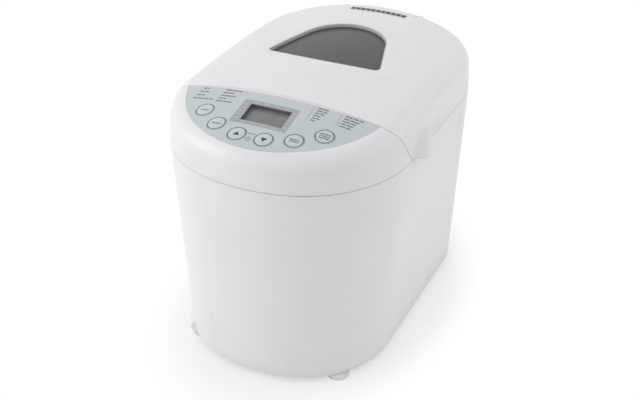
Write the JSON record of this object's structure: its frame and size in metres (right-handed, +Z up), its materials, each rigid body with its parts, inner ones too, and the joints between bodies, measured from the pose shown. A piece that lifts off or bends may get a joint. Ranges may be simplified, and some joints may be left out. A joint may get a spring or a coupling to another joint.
{
  "type": "bread machine",
  "caption": "Countertop bread machine: tapered rounded body, sloping button panel with display, hinged lid with dark window, lift-out kneading pan and belt-driven paddle.",
  "frame": {"origin": "on the worktop, under the middle of the body's plan", "axes": "-Y towards the control panel, +Y towards the lid hinge, +Z up"},
  "size_m": [0.2631, 0.3612, 0.2901],
  "materials": {
    "white_shell": "moulded white, soft gloss",
    "white_button": "satin grey button caps",
    "panel_print": "printed pale grey film",
    "smoked_glass": "smoked toughened glass",
    "dark_plastic": "dark grey moulded plastic",
    "frame_grey": "mid grey moulded plastic",
    "vent_grey": "warm grey moulded plastic",
    "foot_rubber": "pale grey rubber",
    "belt_rubber": "black drive belt rubber",
    "seal_silicone": "translucent silicone",
    "display_face": "grey liquid crystal display",
    "board_green": "circuit board",
    "zinc_steel": "zinc plated steel",
    "oven_coating": "grey coated steel sheet",
    "heater_sheath": "heat-tinted steel tube",
    "liner_metal": "pressed aluminium sheet",
    "pan_coating": "dark non-stick coating",
    "cast_alloy": "die-cast alloy",
    "bush_bronze": "sintered bronze",
    "ceramic": "white insulator"
  },
  "bodies": {
    "machine": {"body_shell": "white_shell", "control_housing": "white_shell", "hinge_cover": "white_shell", "deck": "white_shell", "columns": "white_shell", "panel_overlay": "panel_print", "base_plate": "dark_plastic", "cord_gland": "dark_plastic", "switches": "dark_plastic", "power_parts": "dark_plastic", "feet": "foot_rubber", "drive_belt": "belt_rubber", "display_module": "display_face", "control_board": "board_green", "power_board": "board_green", "base_screws": "zinc_steel", "deck_screws": "zinc_steel", "board_screws": "zinc_steel", "chassis_screws": "zinc_steel", "motor_bolts": "zinc_steel", "hinge_pins": "zinc_steel", "chassis": "zinc_steel", "heat_shield": "zinc_steel", "motor_stator": "zinc_steel", "temperature_probe": "zinc_steel", "chamber_wall": "oven_coating", "chamber_floor": "oven_coating", "heating_element": "heater_sheath", "pan_seat": "liner_metal", "bearing_housing": "cast_alloy", "motor_shields": "cast_alloy", "capacitor": "cast_alloy", "main_bushes": "bush_bronze", "heater_bushings": "ceramic", "board_spacers": "ceramic"},
    "lid": {"lid_shell": "white_shell", "window_glass": "smoked_glass", "window_frame": "frame_grey", "vent_grille": "vent_grey", "lid_liner": "liner_metal", "lid_gasket": "seal_silicone"},
    "pan": {"bread_pan": "pan_coating", "pan_foot": "cast_alloy", "pan_bush": "bush_bronze"},
    "handle": {"pan_handle": "zinc_steel", "handle_grip": "dark_plastic"},
    "paddle": {"pan_shaft": "zinc_steel", "kneading_blade": "pan_coating"},
    "drive": {"main_shaft": "zinc_steel", "driving_dog": "cast_alloy", "large_pulley": "dark_plastic"},
    "rotor": {"motor_rotor": "zinc_steel", "small_pulley": "dark_plastic"},
    "button_1": {"button_1": "white_button"},
    "button_2": {"button_2": "white_button"},
    "button_3": {"button_3": "white_button"},
    "button_4": {"button_4": "white_button"},
    "button_5": {"button_5": "white_button"},
    "button_6": {"button_6": "white_button"}
  },
  "joints": [
    {"name": "lid_hinge", "type": "hinge", "parent": "machine", "child": "lid", "pos_m": [0, 0.16, 0.2797], "axis": [-1, 0, 0], "range_deg": [0, 85]},
    {"name": "pan_twist", "type": "hinge", "parent": "machine", "child": "pan", "pos_m": [0, 0.048, 0.08], "axis": [0, 0, 1], "range_deg": [0, 12]},
    {"name": "handle_swing", "type": "hinge", "parent": "pan", "child": "handle", "pos_m": [0, 0.048, 0.207], "axis": [0, -1, 0], "range_deg": [0, 180]},
    {"name": "drive_spin", "type": "hinge", "parent": "machine", "child": "drive", "pos_m": [0, 0.048, 0.064], "axis": [0, 0, 1], "continuous": true},
    {"name": "paddle_spin", "type": "hinge", "parent": "pan", "child": "paddle", "pos_m": [0, 0.048, 0.1], "axis": [0, 0, 1], "continuous": true},
    {"name": "motor_spin", "type": "hinge", "parent": "machine", "child": "rotor", "pos_m": [0, -0.106, 0.064], "axis": [0, 0, 1], "continuous": true},
    {"name": "button_1_press", "type": "slide", "parent": "machine", "child": "button_1", "axis": [0.1249, 0.24, -0.9627], "range_m": [0, 0.0008], "stiffness_N_per_m": 600},
    {"name": "button_2_press", "type": "slide", "parent": "machine", "child": "button_2", "axis": [0.0803, 0.2411, -0.9672], "range_m": [0, 0.0008], "stiffness_N_per_m": 600},
    {"name": "button_3_press", "type": "slide", "parent": "machine", "child": "button_3", "axis": [0.0277, 0.2418, -0.9699], "range_m": [0, 0.0008], "stiffness_N_per_m": 600},
    {"name": "button_4_press", "type": "slide", "parent": "machine", "child": "button_4", "axis": [-0.0277, 0.2418, -0.9699], "range_m": [0, 0.0008], "stiffness_N_per_m": 600},
    {"name": "button_5_press", "type": "slide", "parent": "machine", "child": "button_5", "axis": [-0.0803, 0.2411, -0.9672], "range_m": [0, 0.0008], "stiffness_N_per_m": 600},
    {"name": "button_6_press", "type": "slide", "parent": "machine", "child": "button_6", "axis": [-0.1249, 0.24, -0.9627], "range_m": [0, 0.0008], "stiffness_N_per_m": 600}
  ],
  "couplings": [
    {"joint": "paddle_spin", "follows": "drive_spin", "ratio": 1},
    {"joint": "motor_spin", "follows": "drive_spin", "ratio": 6}
  ]
}
